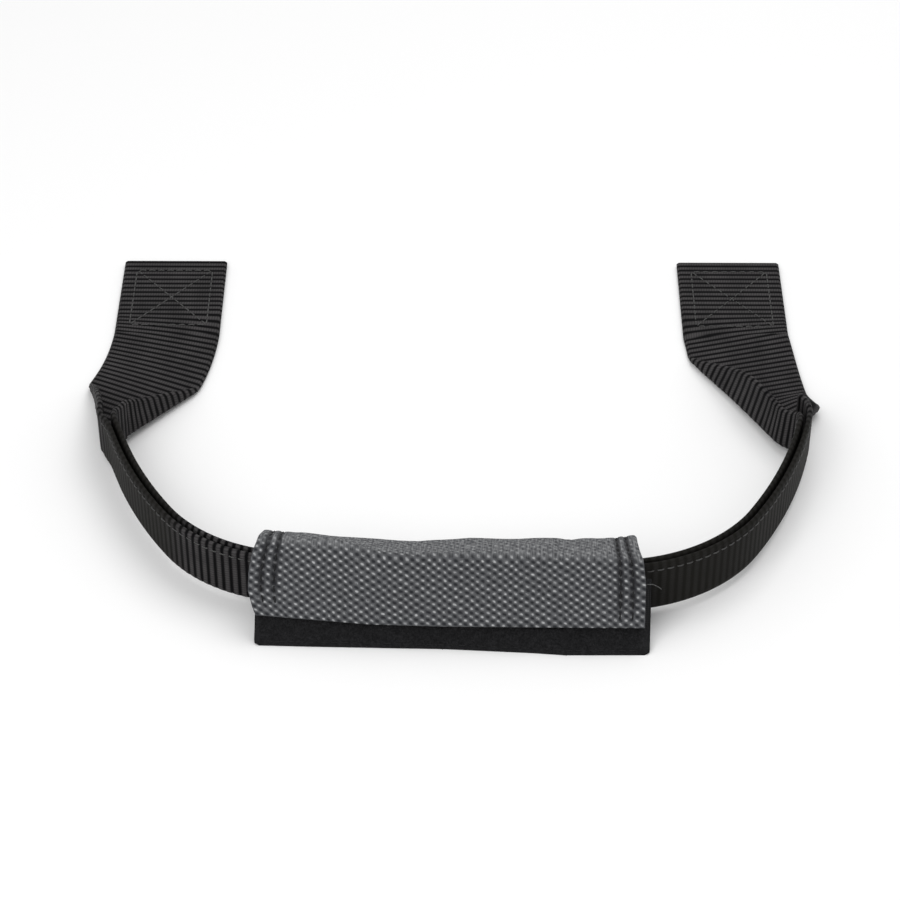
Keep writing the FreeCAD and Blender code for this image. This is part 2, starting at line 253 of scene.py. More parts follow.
def cloth(name, skin, over, under, lay):
    """A closed sheet of cloth: over and under are its thickness either side of its skin, a grid
    of points, and lay is where each of them lies on the flat cloth."""
    normal = facing(skin)
    rows, columns = skin.shape[:2]
    over = np.broadcast_to(over, (rows, columns))[..., None]
    under = np.broadcast_to(under, (rows, columns))[..., None]
    rings = np.concatenate([skin + normal * over, (skin - normal * under)[:, ::-1]], axis=1)
    places = np.concatenate([lay, lay[:, ::-1]], axis=1)
    round_it = 2 * columns
    here = np.arange(rows * round_it).reshape(rows, round_it)
    beside = np.roll(here, -1, axis=1)
    walls = np.stack([here[:-1], here[1:], beside[1:], beside[:-1]], axis=2).reshape(-1, 4)
    top, bottom = here[:, :columns], here[:, :columns - 1:-1]
    first = [top[0, :-1], top[0, 1:], bottom[0, 1:], bottom[0, :-1]]
    last = [bottom[-1, :-1], bottom[-1, 1:], top[-1, 1:], top[-1, :-1]]
    faces = np.concatenate([walls, np.stack(first, axis=1), np.stack(last, axis=1)])
    mesh = bpy.data.meshes.new(name)
    mesh.from_pydata(rings.reshape(-1, 3).tolist(), [], faces.tolist())
    mesh.shade_smooth()
    pattern = mesh.attributes.new("lay", "FLOAT_VECTOR", "POINT")
    pattern.data.foreach_set("vector", places.reshape(-1).astype(np.float32))
    piece = bpy.data.objects.new(name, mesh)
    bpy.context.scene.collection.objects.link(piece)
    return piece


right_skin, right_lay = half_strap(1)
left_skin, left_lay = half_strap(-1)
strap_skin = np.concatenate([left_skin[:0:-1], right_skin])
strap_lay = np.concatenate([left_lay[:0:-1], right_lay])
rib = np.abs(np.sin(np.pi * strap_lay[..., 1] * MM / RIB_PITCH)) ** RIB_BLUNT
edge = np.clip((WEB_WIDTH / 2 - np.abs(strap_lay[..., 0]) * MM) / SELVEDGE, 0, 1)
rounding = np.sqrt(1 - (1 - edge) ** 2)
half_thick = WEB_HALF_THICK + RIB_RISE * rib * strap_lay[..., 2]
half_thick = half_thick * (SELVEDGE_THIN + (1 - SELVEDGE_THIN) * rounding)
webbing = cloth("webbing_strap", strap_skin, half_thick, half_thick, strap_lay)


class Dye:
    """A value, colour or vector in a finish; arithmetic on it adds the nodes that work it out."""

    def __init__(self, tree, socket):
        self.tree, self.socket = tree, socket

    def add(self, kind, settings=(), out=0, **sockets):
        """A new node: its settings, then the values or links of its sockets by name or order."""
        node = self.tree.nodes.new(kind)
        for name, value in dict(settings).items():
            if name == "stops":
                ramp = node.color_ramp
                for place, shade in value[len(ramp.elements):]:
                    ramp.elements.new(place)
                for stop, (place, shade) in zip(ramp.elements, value):
                    stop.position = place
                    stop.color = (*shade, 1)
            else:
                setattr(node, name, value)
        for name, value in sockets.items():
            place = int(name[1:]) if name[0] == "n" and name[1:].isdigit() else None
            key = name.replace("_", " ")
            socket = node.inputs[key] if place is None else node.inputs[place]
            if isinstance(value, Dye):
                self.tree.links.new(value.socket, socket)
            else:
                socket.default_value = value
        return Dye(self.tree, node.outputs[out])

    def maths(self, operation, *values):
        return self.add("ShaderNodeMath", {"operation": operation},
                        **{"n" + str(i): value for i, value in enumerate(values)})

    def __add__(self, other):
        return self.maths("ADD", self, other)

    __radd__ = __add__

    def __mul__(self, other):
        return self.maths("MULTIPLY", self, other)

    __rmul__ = __mul__

    def __sub__(self, other):
        return self.maths("SUBTRACT", self, other)

    def __rsub__(self, other):
        return self.maths("SUBTRACT", other, self)

    def __truediv__(self, other):
        return self.maths("DIVIDE", self, other)

    def part(self, axis):
        return self.add("ShaderNodeSeparateXYZ", out=axis, Vector=self)

    def size(self):
        return self.maths("ABSOLUTE", self)

    def wave(self):
        """Rounded humps side by side, each half a turn long."""
        return self.maths("SINE", self).size()

    def between(self, low, high):
        """0 below low, 1 above high and smooth in between."""
        return self.add("ShaderNodeMapRange", {"interpolation_type": "SMOOTHSTEP"},
                        Value=self, n1=low, n2=high)

    def noise(self, scale, detail):
        return self.add("ShaderNodeTexNoise", Vector=self, Scale=scale, Detail=detail)

    def stretched(self, x, y, z):
        return self.add("ShaderNodeVectorMath", {"operation": "MULTIPLY"}, n0=self, n1=(x, y, z))

    def mixed(self, first, second):
        """Two colours mixed by this value."""
        return self.add("ShaderNodeMix", {"data_type": "RGBA"}, out=2,
                        n0=self, n6=first, n7=second)


def finish_of(name, pattern="lay", **constants):
    """A new finish: its shader, and its pattern's place on the flat cloth, or on the object."""
    material = bpy.data.materials.new(name)
    material.use_nodes = True
    tree = material.node_tree
    shader = tree.nodes["Principled BSDF"]
    for socket, value in constants.items():
        shader.inputs[socket.replace("_", " ")].default_value = value
    start = Dye(tree, None)
    if pattern == "lay":
        place = start.add("ShaderNodeAttribute", {"attribute_name": "lay"}, out=1)
    else:
        place = start.add("ShaderNodeTexCoord", out=3).stretched(1 / MM, 1 / MM, 1 / MM)
    return material, shader, place


def set_to(shader, height=None, depth=0.0, **links):
    """Links values to the shader, and a height to its normal."""
    tree = shader.id_data
    for name, value in links.items():
        tree.links.new(value.socket, shader.inputs[name.replace("_", " ")])
    if height is not None:
        bump = height.add("ShaderNodeBump", Strength=1.0, Distance=depth, Height=height)
        tree.links.new(bump.socket, shader.inputs["Normal"])


# Painted shade in the rib grooves and painted highlight on the rib crests; the plain black is the
# ground where the ribs are worn flat, and the fuzz is lint
GROOVE_SHADE_BLACK, PLAIN_BLACK = (0.0022, 0.0022, 0.0026, 1), (0.0105, 0.01, 0.0085, 1)
CREST_HIGHLIGHT_BLACK, FUZZ_BLACK = (0.058, 0.055, 0.056, 1), (0.03, 0.029, 0.027, 1)


def nylon_webbing():
    """Black webbing: ribs across it, each crossed by slanting yarns; the crests are painted paler
    as painted highlight and the grooves between painted near-black as painted shade.
    """
    material, shader, lay = finish_of("nylon_webbing", Specular_IOR_Level=0.04)
    across, along, plain = lay.part(0), lay.part(1), lay.part(2)
    turn = along / (RIB_PITCH / MM)
    crest = (turn * math.pi).wave()
    staggered = turn.maths("FLOOR", turn) * 0.5 + turn * 0.35
    yarn = ((across / YARN_PITCH + staggered) * math.pi).wave()
    blotch = lay.stretched(0.12, 0.05, 0.0).noise(1.0, 3.0)
    fuzz = lay.stretched(2.5, 2.5, 1.0).noise(1.0, 4.0)
    # Painted highlight on the rib crests, broken up by the crossing yarns, random patches and the
    # worn stretches; the grooves get painted shade
    lit = crest.between(0.35, 0.98) * (0.5 + yarn * 0.5) * plain
    lit = lit * (0.4 + blotch * 1.1)
    ground = (1.0 - plain).mixed(GROOVE_SHADE_BLACK, PLAIN_BLACK)
    colour = lit.mixed(ground, CREST_HIGHLIGHT_BLACK)
    colour = fuzz.between(0.62, 0.8).mixed(colour, FUZZ_BLACK)
    set_to(shader, crest * 0.35 + yarn * crest * 0.5 * (0.35 + plain * 0.65) + fuzz * 0.35,
           0.12 * MM, Base_Color=colour, Roughness=0.62 - crest * 0.12 + fuzz * 0.1)
    return material


webbing.data.materials.append(nylon_webbing())
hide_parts(*[side + part for side in ("left_", "right_")
                       for part in ("anchor_tab", "shoulder_fold", "leg")], "grip_span")
at_case(0, HINGE_BEND, MM)
at_case(0, -HINGE_BEND, MM)
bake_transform(webbing)


# ---- Grip wrap ----
# One panel of coarse grey nylon over thin foam, wrapped round the folded strap: an under-flap at
# the front, the bottom, the back, the top, and the closing flap down the front again. Hook and
# loop tape hold it shut, and its grip on the strap holds it in place.

# All in millimetres. The section: how steep the front is, how far out of it the flap lies and
# from where, up the slope, to where, and the other corners, back and up from the slope's foot
GRIP_HALF = 63
SLOPE = math.radians(56.75)
RIDGE_BACK = 14.6
FLAP_OUT = 2.7
FLAP_FROM = 8.75
RIDGE_AT = 30.75
SHOULDER = (29, 22.8)
BACK_FOOT = (35, 0)
FOOT = (1.2, 0)
UNDER_FLAP = 24.4
TAPE_THICK = 1.0
STRAIGHT_POINTS = (44, 22, 30, 30, 36)
CORNER_POINTS = (12, 10, 10, 8)
RIDGE_RADIUS, SHOULDER_RADIUS, BACK_RADIUS, FOOT_RADIUS = 2.5, 3, 3, 1.8
# Towards its left end the ridge is rounder and farther back
LEFT_TO, LEFT_FADE = 0.42, 0.4
LEFT_RIDGE_SHIFT, LEFT_RIDGE_RADIUS, LEFT_SHOULDER_RADIUS = 4.2, 5.5, 3
SHOULDER_LEAN = 0.3
# How far the shoulder at the back of the top stands up, by how far along the wrap it is
SHOULDER_RISE = [(0, 1.2), (0.07, 0.7), (0.22, -0.6), (0.42, -1.7), (0.55, 0.2), (0.8, 0.4),
                 (0.92, 1.6), (1.0, 2.9)]
# How far each end's edge lies out of line, by how far round it is from the ridge
LEFT_EDGE = [(-24, 2.0), (-21, 0.8), (-16, -0.6), (-10, -0.5), (-4, 0.5), (0, 1.6), (8, 2.5),
             (13, 3.1), (17, 4.2), (36, 0), (50, 0), (68, 2.5)]
RIGHT_EDGE = [(-24, 0), (-8, 0), (0, -1.0), (6, -2.2), (14, -3.4), (36, 0)]
# How far up the slope the flap's edge is moved, by how far along the wrap it is
FLAP_EDGE_RISE = [(0, 0.9), (0.15, 0), (0.3, -1.1), (0.5, -1.2), (0.7, -0.7), (1, 0)]
EDGE_FADE = 16
# Where the top facet begins and ends round the wrap, for the painted top light on the cover
TOP_BEFORE, TOP_AFTER, TOP_FADE = 1.5, 1, 3

# The cloth: its thickness with and without foam, thinner at the foot, and its cut edges
COVER_THICK = 0.7
PAD_THICK = 1.9
PAD_BEFORE, PAD_FADE = 1, 4
FOOT_THIN, FOOT_SPREAD = 0.7, 3
CUT_EDGE, CUT_THIN = 1.2, 0.3

# How it fills out: its slack, the padding's push, and where it is sewn down
COVER_SLACK = 0.03
COVER_PRESSURE = 3.0
CLOTH_STEPS = 24
CLOTH_QUALITY, CLOTH_MASS = 8, 0.15
STRETCH_STIFF, SHEAR_STIFF, BEND_STIFF = 20, 8, 0.8
ROUGH_COLUMNS, ROUGH_PICK = 72, 3
SEWN_END, SEWN_EDGE, SEWN_FOOT = 9, 2, 3
FILL_FADE, FOOT_FADE = 6, 5
SWELL_LIMIT, DIP_LIMIT = 2.6, 0.45

# Soft creases all over and finer ones in the flap's slack, and the dips at the stitch rows
CREASE_SIZE, CREASE_DEPTH = 16, 0.2
SLACK_SIZE, SLACK_STRETCH, SLACK_DEPTH = 7, 0.6, 0.3
SLACK_AT, SLACK_SPREAD = 5.5, 3.2
CRUMPLE_SPAN, CRUMPLE_PEAK = (0.6, 1.7), 1.4
ROWS_FROM_END = (4, 8)
ROW_DIP, ROW_SPREAD = 0.5, 0.9
PUCKER, PUCKER_PITCH, PUCKER_FADE = 0.1, 3.4, 1.4
ROWS_PART, MIDDLE_PART = 51, 49.6
END_COLUMNS, MIDDLE_COLUMNS = 25, 72

# The weave: one repeat along the grip and round it, and how much the falling diagonal leads
WEAVE_ACROSS, WEAVE_ROUND = 3.5, 2.55
FALLING_PART = 0.625
GAP_GREY, GROUND_GREY = (0.020, 0.021, 0.024, 1), (0.088, 0.090, 0.095, 1)
# The last grey is painted shade for the grooves that the stitch rows pull into the cover
FLOAT_GREY, ROW_SHADE_GREY = (0.42, 0.425, 0.43, 1), (0.010, 0.010, 0.012, 1)

ridge_place = np.array(next(j for j in frame["joints"] if j["name"] == "flap_open")["pos_m"])
slope_foot = ridge_place - np.array([0, RIDGE_BACK * MM, ridge_place[2]])
slope_out = np.array([0, -math.sin(SLOPE), math.cos(SLOPE)])
ripples = np.random.default_rng(5)


def up_slope(distance, depth):
    """A place on the sloping front, back and up from its foot: so far up it, so far in."""
    return np.array([distance * math.cos(SLOPE) + depth * math.sin(SLOPE),
                     distance * math.sin(SLOPE) - depth * math.cos(SLOPE)])


def wrap_section(t):
    """The wrap's outer face where it is t of the way along, from the flap's edge over the top,
    down the back and under to the top of the under-flap; and where its corners are."""
    left = float(smooth((LEFT_TO - t) / LEFT_FADE))
    rise = np.interp(t, *zip(*SHOULDER_RISE))
    corners = [up_slope(FLAP_FROM + np.interp(t, *zip(*FLAP_EDGE_RISE)), -FLAP_OUT),
               up_slope(RIDGE_AT + LEFT_RIDGE_SHIFT * left, -FLAP_OUT),
               np.array(SHOULDER) + (SHOULDER_LEAN * rise, rise),
               np.array(BACK_FOOT), np.array(FOOT), up_slope(UNDER_FLAP, TAPE_THICK)]
    radii = (RIDGE_RADIUS + LEFT_RIDGE_RADIUS * left,
             SHOULDER_RADIUS + LEFT_SHOULDER_RADIUS * left, BACK_RADIUS, FOOT_RADIUS)
    points, marks, here = [], [0], corners[0]
    for i, radius in enumerate(radii):
        before, corner, after = corners[i:i + 3]
        arriving = (corner - before) / np.linalg.norm(corner - before)
        leaving = (after - corner) / np.linalg.norm(after - corner)
        turn = math.acos(arriving @ leaving)
        start = corner - arriving * radius * math.tan(turn / 2)
        centre = start + radius * np.array([arriving[1], -arriving[0]])
        for k in range(STRAIGHT_POINTS[i]):
            points.append(here + (start - here) * k / STRAIGHT_POINTS[i])
        arm = start - centre
        for k in range(CORNER_POINTS[i] + 1):
            a = turn * k / CORNER_POINTS[i]
            here = centre + (arm[0] * math.cos(a) + arm[1] * math.sin(a),
                             arm[1] * math.cos(a) - arm[0] * math.sin(a))
            points.append(here)
        points.pop()
        marks.append(len(points) - CORNER_POINTS[i] // 2)
    for k in range(STRAIGHT_POINTS[4] + 1):
        points.append(here + (corners[5] - here) * k / STRAIGHT_POINTS[4])
    return np.array(points), marks + [len(points) - 1]


def wrap_grid(across):
    """The wrap's outer face at these places along it, and where each point lies on the flat
    panel: along the grip, round it from the ridge, and how much it is on top, where the cover
    finish paints top light."""
    sections = [wrap_section((x + GRIP_HALF) / (2 * GRIP_HALF)) for x in across]
    marks = sections[0][1]
    places = np.array([points for points, _ in sections])
    steps = np.linalg.norm(np.diff(places, axis=1), axis=2)
    around = np.concatenate([np.zeros((len(across), 1)), np.cumsum(steps, axis=1)], axis=1)
    around -= around[:, marks[1]][:, None]
    x = np.broadcast_to(np.asarray(across, float)[:, None], around.shape)
    shift = np.interp(around, *zip(*LEFT_EDGE)) * (1 - smooth((x + GRIP_HALF) / EDGE_FADE))
    shift += np.interp(around, *zip(*RIGHT_EDGE)) * (1 - smooth((GRIP_HALF - x) / EDGE_FADE))
    skin = np.stack([slope_foot[0] + (x + shift) * MM, slope_foot[1] + places[..., 0] * MM,
                     places[..., 1] * MM], axis=2)
    turns = around[:, marks]
    top_light_mask = smooth((around + TOP_BEFORE) / TOP_FADE)
    top_light_mask = top_light_mask * smooth((turns[:, 2:3] + TOP_AFTER - around) / TOP_FADE)
    return skin, np.stack([x, around, top_light_mask], axis=2), turns


def crumple(x, y, size, count=14):
    """Soft creases of about this size, from -1 to 1."""
    total = np.zeros(np.shape(x))
    for _ in range(count):
        way = ripples.uniform(0, math.pi)
        length = ripples.uniform(*CRUMPLE_SPAN)
        phase = ripples.uniform(0, 2 * math.pi)
        total += np.sin((x * math.cos(way) + y * math.sin(way)) / (size * length)
                        * 2 * math.pi + phase)
    return np.clip(total / math.sqrt(count) / CRUMPLE_PEAK, -1, 1)


def trimmed(over, under, x, around, left, right):
    """Thickness either side of the skin with its four cut edges rounded off."""
    near = np.minimum(np.minimum(x - left, right - x),
                      np.minimum(around - around[:, :1], around[:, -1:] - around))
    rounding = np.sqrt(1 - (1 - np.clip(near / CUT_EDGE, 0, 1)) ** 2)
    middle = (over - under) / 2
    half = (over + under) / 2 * (CUT_THIN + (1 - CUT_THIN) * rounding)
    return (middle + half) * MM, (half - middle) * MM


def blown_out(skin, held):
    """How far cloth stands off its skin once its padding fills it out and its slack buckles,
    with the held points sewn down."""
    rows, columns = skin.shape[:2]
    here = np.arange(rows * columns).reshape(rows, columns)
    squares = np.stack([here[:-1, :-1], here[1:, :-1], here[1:, 1:], here[:-1, 1:]], axis=2)
    mesh = bpy.data.meshes.new("slack_cover")
    mesh.from_pydata(skin.reshape(-1, 3).tolist(), [], squares.reshape(-1, 4).tolist())
    slack_cover = bpy.data.objects.new("slack_cover", mesh)
    bpy.context.scene.collection.objects.link(slack_cover)
    sewn_down = slack_cover.vertex_groups.new(name="sewn_down")
    sewn_down.add([int(i) for i in np.flatnonzero(held)], 1.0, "REPLACE")
    loose = slack_cover.modifiers.new("cloth", "CLOTH")
    loose.settings.vertex_group_mass = "sewn_down"
    loose.settings.quality = CLOTH_QUALITY
    loose.settings.mass = CLOTH_MASS
    loose.settings.tension_stiffness = STRETCH_STIFF
    loose.settings.compression_stiffness = STRETCH_STIFF
    loose.settings.shear_stiffness = SHEAR_STIFF
    loose.settings.bending_stiffness = BEND_STIFF
    loose.settings.shrink_min = -COVER_SLACK
    loose.settings.use_pressure = True
    loose.settings.uniform_pressure_force = COVER_PRESSURE
    loose.settings.effector_weights.gravity = 0
    for step in range(1, CLOTH_STEPS + 1):
        bpy.context.scene.frame_set(step)
    settled = slack_cover.evaluated_get(bpy.context.evaluated_depsgraph_get()).to_mesh()
    places = np.zeros(rows * columns * 3, np.float32)
    settled.vertices.foreach_get("co", places)
    moved = ((places.reshape(skin.shape) - skin) * facing(skin)).sum(axis=2)
    bpy.data.objects.remove(slack_cover)
    bpy.data.meshes.remove(mesh)
    bpy.context.scene.frame_set(1)
    return moved


def layers_depth(around, turns):
    """How deep the layers are behind the outer face: with foam from the ridge on, and thin where
    they turn in at the foot."""
    padded_part = smooth((around + PAD_BEFORE) / PAD_FADE)
    at_foot = np.exp(-((around - turns[:, 4:5]) / FOOT_SPREAD) ** 2)
    return COVER_THICK + (PAD_THICK - COVER_THICK) * padded_part - FOOT_THIN * at_foot


rough_x = np.linspace(-GRIP_HALF, GRIP_HALF, ROUGH_COLUMNS)
rough_skin, rough_lay, rough_turns = wrap_grid(rough_x)
picked = np.append(np.arange(0, rough_skin.shape[1] - 1, ROUGH_PICK), rough_skin.shape[1] - 1)
rough_around = rough_lay[:, picked, 1]
held = np.abs(rough_lay[:, picked, 0]) > GRIP_HALF - SEWN_END
held |= rough_around < rough_around[:, :1] + SEWN_EDGE
held |= rough_around > rough_turns[:, 3:4] - SEWN_FOOT
blown = blown_out(rough_skin[:, picked], held) / MM

across = np.concatenate([np.linspace(-GRIP_HALF, -ROWS_PART, END_COLUMNS),
                         np.linspace(-MIDDLE_PART, MIDDLE_PART, MIDDLE_COLUMNS),
                         np.linspace(ROWS_PART, GRIP_HALF, END_COLUMNS)])
cover_skin, cover_lay, turns = wrap_grid(across)
x, around = cover_lay[..., 0], cover_lay[..., 1]
from_end = np.minimum(x + GRIP_HALF, GRIP_HALF - x)
filled = smooth((from_end - SEWN_END) / FILL_FADE)
all_columns = np.arange(cover_skin.shape[1])
blown = np.array([np.interp(all_columns, picked, line) for line in blown])
swell = np.array([np.interp(across, rough_x, line) for line in blown.T]).T
outside = smooth((turns[:, 3:4] - around) / FOOT_FADE)
up_flap = around - turns[:, :1]
slack = np.exp(-((up_flap - SLACK_AT) / SLACK_SPREAD) ** 2)
creases = crumple(x, around, CREASE_SIZE) * CREASE_DEPTH
creases = creases + crumple(x * SLACK_STRETCH, around, SLACK_SIZE) * slack * SLACK_DEPTH
swell = (np.clip(swell, 0, SWELL_LIMIT) + creases) * filled
for row in ROWS_FROM_END:
    swell -= ROW_DIP * np.exp(-((from_end - row) / ROW_SPREAD) ** 2)
    ripple = np.cos(around * 2 * np.pi / PUCKER_PITCH)
    swell += PUCKER * ripple * np.exp(-np.abs(from_end - row) / PUCKER_FADE)
swell = np.clip(swell * outside, -DIP_LIMIT, SWELL_LIMIT)
over, under = trimmed(swell, layers_depth(around, turns), x, around, -GRIP_HALF, GRIP_HALF)
cover = cloth("grip_wrap", cover_skin, over, under, cover_lay)
cover_out = facing(cover_skin)
cover_face = cover_skin + cover_out * over[..., None]
cover_x, cover_around = x[:, 0], around


def coarse_nylon():
    """Grey nylon of thick yarns: pale rounded floats in slanting rows, dark gaps between, with
    painted shade along the end stitch rows and painted top light on the top facet.
    """
    material, shader, lay = finish_of("coarse_nylon", Specular_IOR_Level=0.12)
    wander = lay.stretched(0.12, 0.12, 0.0).noise(1.0, 2.0)
    drift = lay.stretched(0.35, 0.35, 0.0).noise(1.0, 1.0)
    u = lay.part(0) / WEAVE_ACROSS + wander * 0.5
    v = lay.part(1) / WEAVE_ROUND + drift * 0.3
    falling, rising = (u + v) * (2 * math.pi), (u - v) * (2 * math.pi)
    falling = falling.maths("COSINE", falling)
    rising = rising.maths("COSINE", rising)
    float_height = falling * FALLING_PART + rising * (1 - FALLING_PART)
    fibre = lay.stretched(0.9, 5.0, 0.0).noise(1.0, 3.0)
    speck = lay.stretched(0.8, 0.8, 0.0).noise(1.0, 2.0)
    # Painted top light: on the top facet the ground is lifted towards mid grey and the dots give
    # way to faint streaks running round the grip, standing in for the brighter top; the weave
    # itself is the same all round
    top_light_mask = lay.part(2)
    ground = (float_height + (fibre - 0.5) * 0.8).between(-1.0, 0.3)
    ground = ground * (1.0 - top_light_mask * 0.5) + top_light_mask * 0.5
    dots = (float_height + (fibre - 0.5) * 0.5).between(0.3, 1.05) * speck.between(0.22, 0.7)
    streak = lay.stretched(1.6, 0.25, 0.0).noise(1.0, 3.0).between(0.35, 0.75)
    dots = dots * (1.0 - top_light_mask * 0.6) + top_light_mask * streak * 0.4
    colour = ground.mixed(GAP_GREY, GROUND_GREY)
    colour = dots.mixed(colour, FLOAT_GREY)
    # Painted shade: dark bands along the two stitch rows at each end, where the rows pull the
    # cloth into grooves; on from 13 mm down the flap from the ridge, gone below 20 mm
    inner_row, outer_row = GRIP_HALF - ROWS_FROM_END[1], GRIP_HALF - ROWS_FROM_END[0]
    from_middle = (lay.part(0).size() - (outer_row + inner_row) / 2).size()
    near_row = (from_middle - (outer_row - inner_row) / 2).size()
    row_shade = (1.0 - near_row.between(0.5, 1.7)) * lay.part(1).between(-20.0, -13.0)
    colour = (row_shade * 0.72).mixed(colour, ROW_SHADE_GREY)
    set_to(shader, float_height * 0.5 + fibre * 0.3 + speck * 0.2, 0.35 * MM,
           Base_Color=colour, Roughness=0.82 - float_height.between(0.2, 1.0) * 0.12)
    return material


cover.data.materials.append(coarse_nylon())
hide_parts("grip_cover", "grip_foam", "flap_cover")
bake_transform(cover)


# ---- Wrap lining ----
# Thin black fabric sewn inside the cover all the way round. It stands a little proud of the
# cover at the right end and stops short of it at the left.

LINING_FROM, LINING_TO = -61.5, 64.6
LINING_THICK = 0.4
LINING_TUCK, TUCK_BEFORE, TUCK_FADE = 2.4, 11, 8
LINING_COLUMNS = 90
LINING_YARN = 0.6
LINING_DARK, LINING_PALE = (0.005, 0.005, 0.0055, 1), (0.024, 0.024, 0.025, 1)

lining_skin, lining_lay, turns = wrap_grid(np.linspace(LINING_FROM, LINING_TO, LINING_COLUMNS))
x, around = lining_lay[..., 0], lining_lay[..., 1]
depth = layers_depth(around, turns)
over, under = trimmed(-depth, depth + LINING_THICK, x, around, LINING_FROM, LINING_TO)
tucked = smooth((around + TUCK_BEFORE) / TUCK_FADE)
tucked = tucked * (1 - smooth((LINING_TO - x) / EDGE_FADE))
lining_skin[..., 0] -= LINING_TUCK * tucked * MM
inside = slice(2, -2)
lining = cloth("wrap_lining", lining_skin[:, inside], over[:, inside], under[:, inside],
               lining_lay[:, inside])


def lining_cloth():
    """Black plain-woven lining with a fine thread pattern."""
    material, shader, lay = finish_of("lining_cloth", Specular_IOR_Level=0.1)
    warp = (lay.part(0) * (math.pi / LINING_YARN)).wave()
    weft = (lay.part(1) * (math.pi / LINING_YARN)).wave()
    worn = lay.stretched(0.2, 0.2, 0.0).noise(1.0, 4.0)
    colour = (warp * weft * (0.4 + worn * 0.8)).mixed(LINING_DARK, LINING_PALE)
    set_to(shader, warp * weft + worn * 0.5, 0.08 * MM, Base_Color=colour,
           Roughness=0.7 + worn * 0.15)
    return material


lining.data.materials.append(lining_cloth())
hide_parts("grip_lining", "flap_lining")
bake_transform(lining)


# ---- Loop tape ----
# Black tape sewn flat on the under-flap, covered with soft nylon loops. Its lower part shows
# below the closing flap.

TAPE_FROM, TAPE_TO = -61.5, 64.8
TAPE_LOW, TAPE_HIGH = 0.15, 24.2
TAPE_POINTS = (84, 26)
CORNER_CUT = 1.6
# How far the tape's lower edge stands out, by how far along it is
TAPE_KICK = [(-62, 1.2), (-40, 1.1), (0, 0.6), (28, 1.4), (38, 2.0), (64, 0.9)]
KICK_FADE = 7
LOWEST = 0.15
LOOP_BACKING = 0.55
TAPE_RAISED, TAPE_CLEAR = 0.06, 0.02
SAG, SAG_STRETCH, SAG_SIZE = 0.18, 0.3, 26
SAG_TO, SAG_FADE = 9, 4

# The loops: where their rows start and how far they run, along the tape and up it, and how each
# loop strays, leans, spreads and stands up
LOOP_ROWS, LOOPS_IN_ROW = 22, 118
LOOPS_START, LOOPS_UP = 1.4, 1.2
LOOPS_RUN, LOOPS_RISE = 122, 22.0
LOOP_STRAY, LOOP_LEAN, LOOP_SUNK = 0.2, 0.18, 0.05
LOOP_SPREAD, LOOP_HEIGHT = (0.35, 0.6), (0.3, 0.6)
LOOP_BOW = np.array([(-1.0, -0.2), (-0.95, 0.6), (0, 1.0), (0.95, 0.6), (1.0, -0.2)])
LOOP_YARN = 0.075 * MM
TAPE_BLACK = (0.006, 0.006, 0.0065, 1)


def tape_grid(left, right, low, high, depth, up=True):
    """A flat tape on the sloping front, facing out if up, and where its points are on it."""
    across = np.linspace(left, right, TAPE_POINTS[0])
    along = np.linspace(low, high, TAPE_POINTS[1])
    if not up:
        along = along[::-1]
    x, far = np.meshgrid(across, along, indexing="ij")
    near = np.clip(1 - (far - min(low, high)) / CORNER_CUT, 0, 1)
    cut = CORNER_CUT * (1 - np.sqrt(1 - near ** 2))
    middle = (left + right) / 2
    x = middle + (x - middle) * (1 - cut / ((right - left) / 2))
    return on_slope(x, far, depth), np.stack([x, far, np.zeros_like(x)], axis=2)


def on_slope(x, far, depth):
    """Places on the under-flap; its lower edge stands out a little."""
    x, far, depth = np.broadcast_arrays(np.asarray(x, float), far, depth)
    back, rise = up_slope(far, depth)
    back = back - np.interp(x, *zip(*TAPE_KICK)) * (1 - smooth(far / KICK_FADE))
    return np.stack([slope_foot[0] + x * MM, slope_foot[1] + back * MM,
                     np.maximum(rise, LOWEST) * MM], axis=-1)


def threads(name, paths, beside, radius, sides=5):
    """Many short threads in one mesh: paths is one line of points for each, and beside a
    direction square to each line."""
    count, stations = paths.shape[:2]
    tangent = np.gradient(paths, axis=1)
    tangent /= np.linalg.norm(tangent, axis=2, keepdims=True)
    beside = np.broadcast_to(beside, (count, 3))[:, None] + np.zeros_like(tangent)
    normal = np.cross(beside, tangent)
    normal /= np.linalg.norm(normal, axis=2, keepdims=True)
    beside = np.cross(tangent, normal)
    angle = np.arange(sides) * 2 * np.pi / sides
    ring = (normal[:, :, None] * np.cos(angle)[:, None]
            + beside[:, :, None] * np.sin(angle)[:, None]) * radius
    points = paths[:, :, None] + ring
    here = np.arange(count * stations * sides).reshape(count, stations, sides)
    beyond = np.roll(here, -1, axis=2)
    walls = np.stack([here[:, :-1], beyond[:, :-1], beyond[:, 1:], here[:, 1:]], axis=3)
    faces = walls.reshape(-1, 4).tolist()
    faces += here[:, 0, ::-1].tolist() + here[:, -1].tolist()
    mesh = bpy.data.meshes.new(name)
    mesh.from_pydata(points.reshape(-1, 3).tolist(), [], faces)
    mesh.shade_smooth()
    piece = bpy.data.objects.new(name, mesh)
    bpy.context.scene.collection.objects.link(piece)
    return piece


tape_skin, tape_lay = tape_grid(TAPE_FROM, TAPE_TO, TAPE_LOW, TAPE_HIGH,
                                TAPE_THICK - LOOP_BACKING)
x, far = tape_lay[..., 0], tape_lay[..., 1]
sag = SAG * crumple(x, far * SAG_STRETCH, SAG_SIZE) * smooth((SAG_TO - far) / SAG_FADE)
over, under = trimmed(TAPE_RAISED + sag, LOOP_BACKING - TAPE_CLEAR, x, far, TAPE_FROM, TAPE_TO)
loop_tape = cloth("loop_tape_band", tape_skin, over, under, tape_lay)

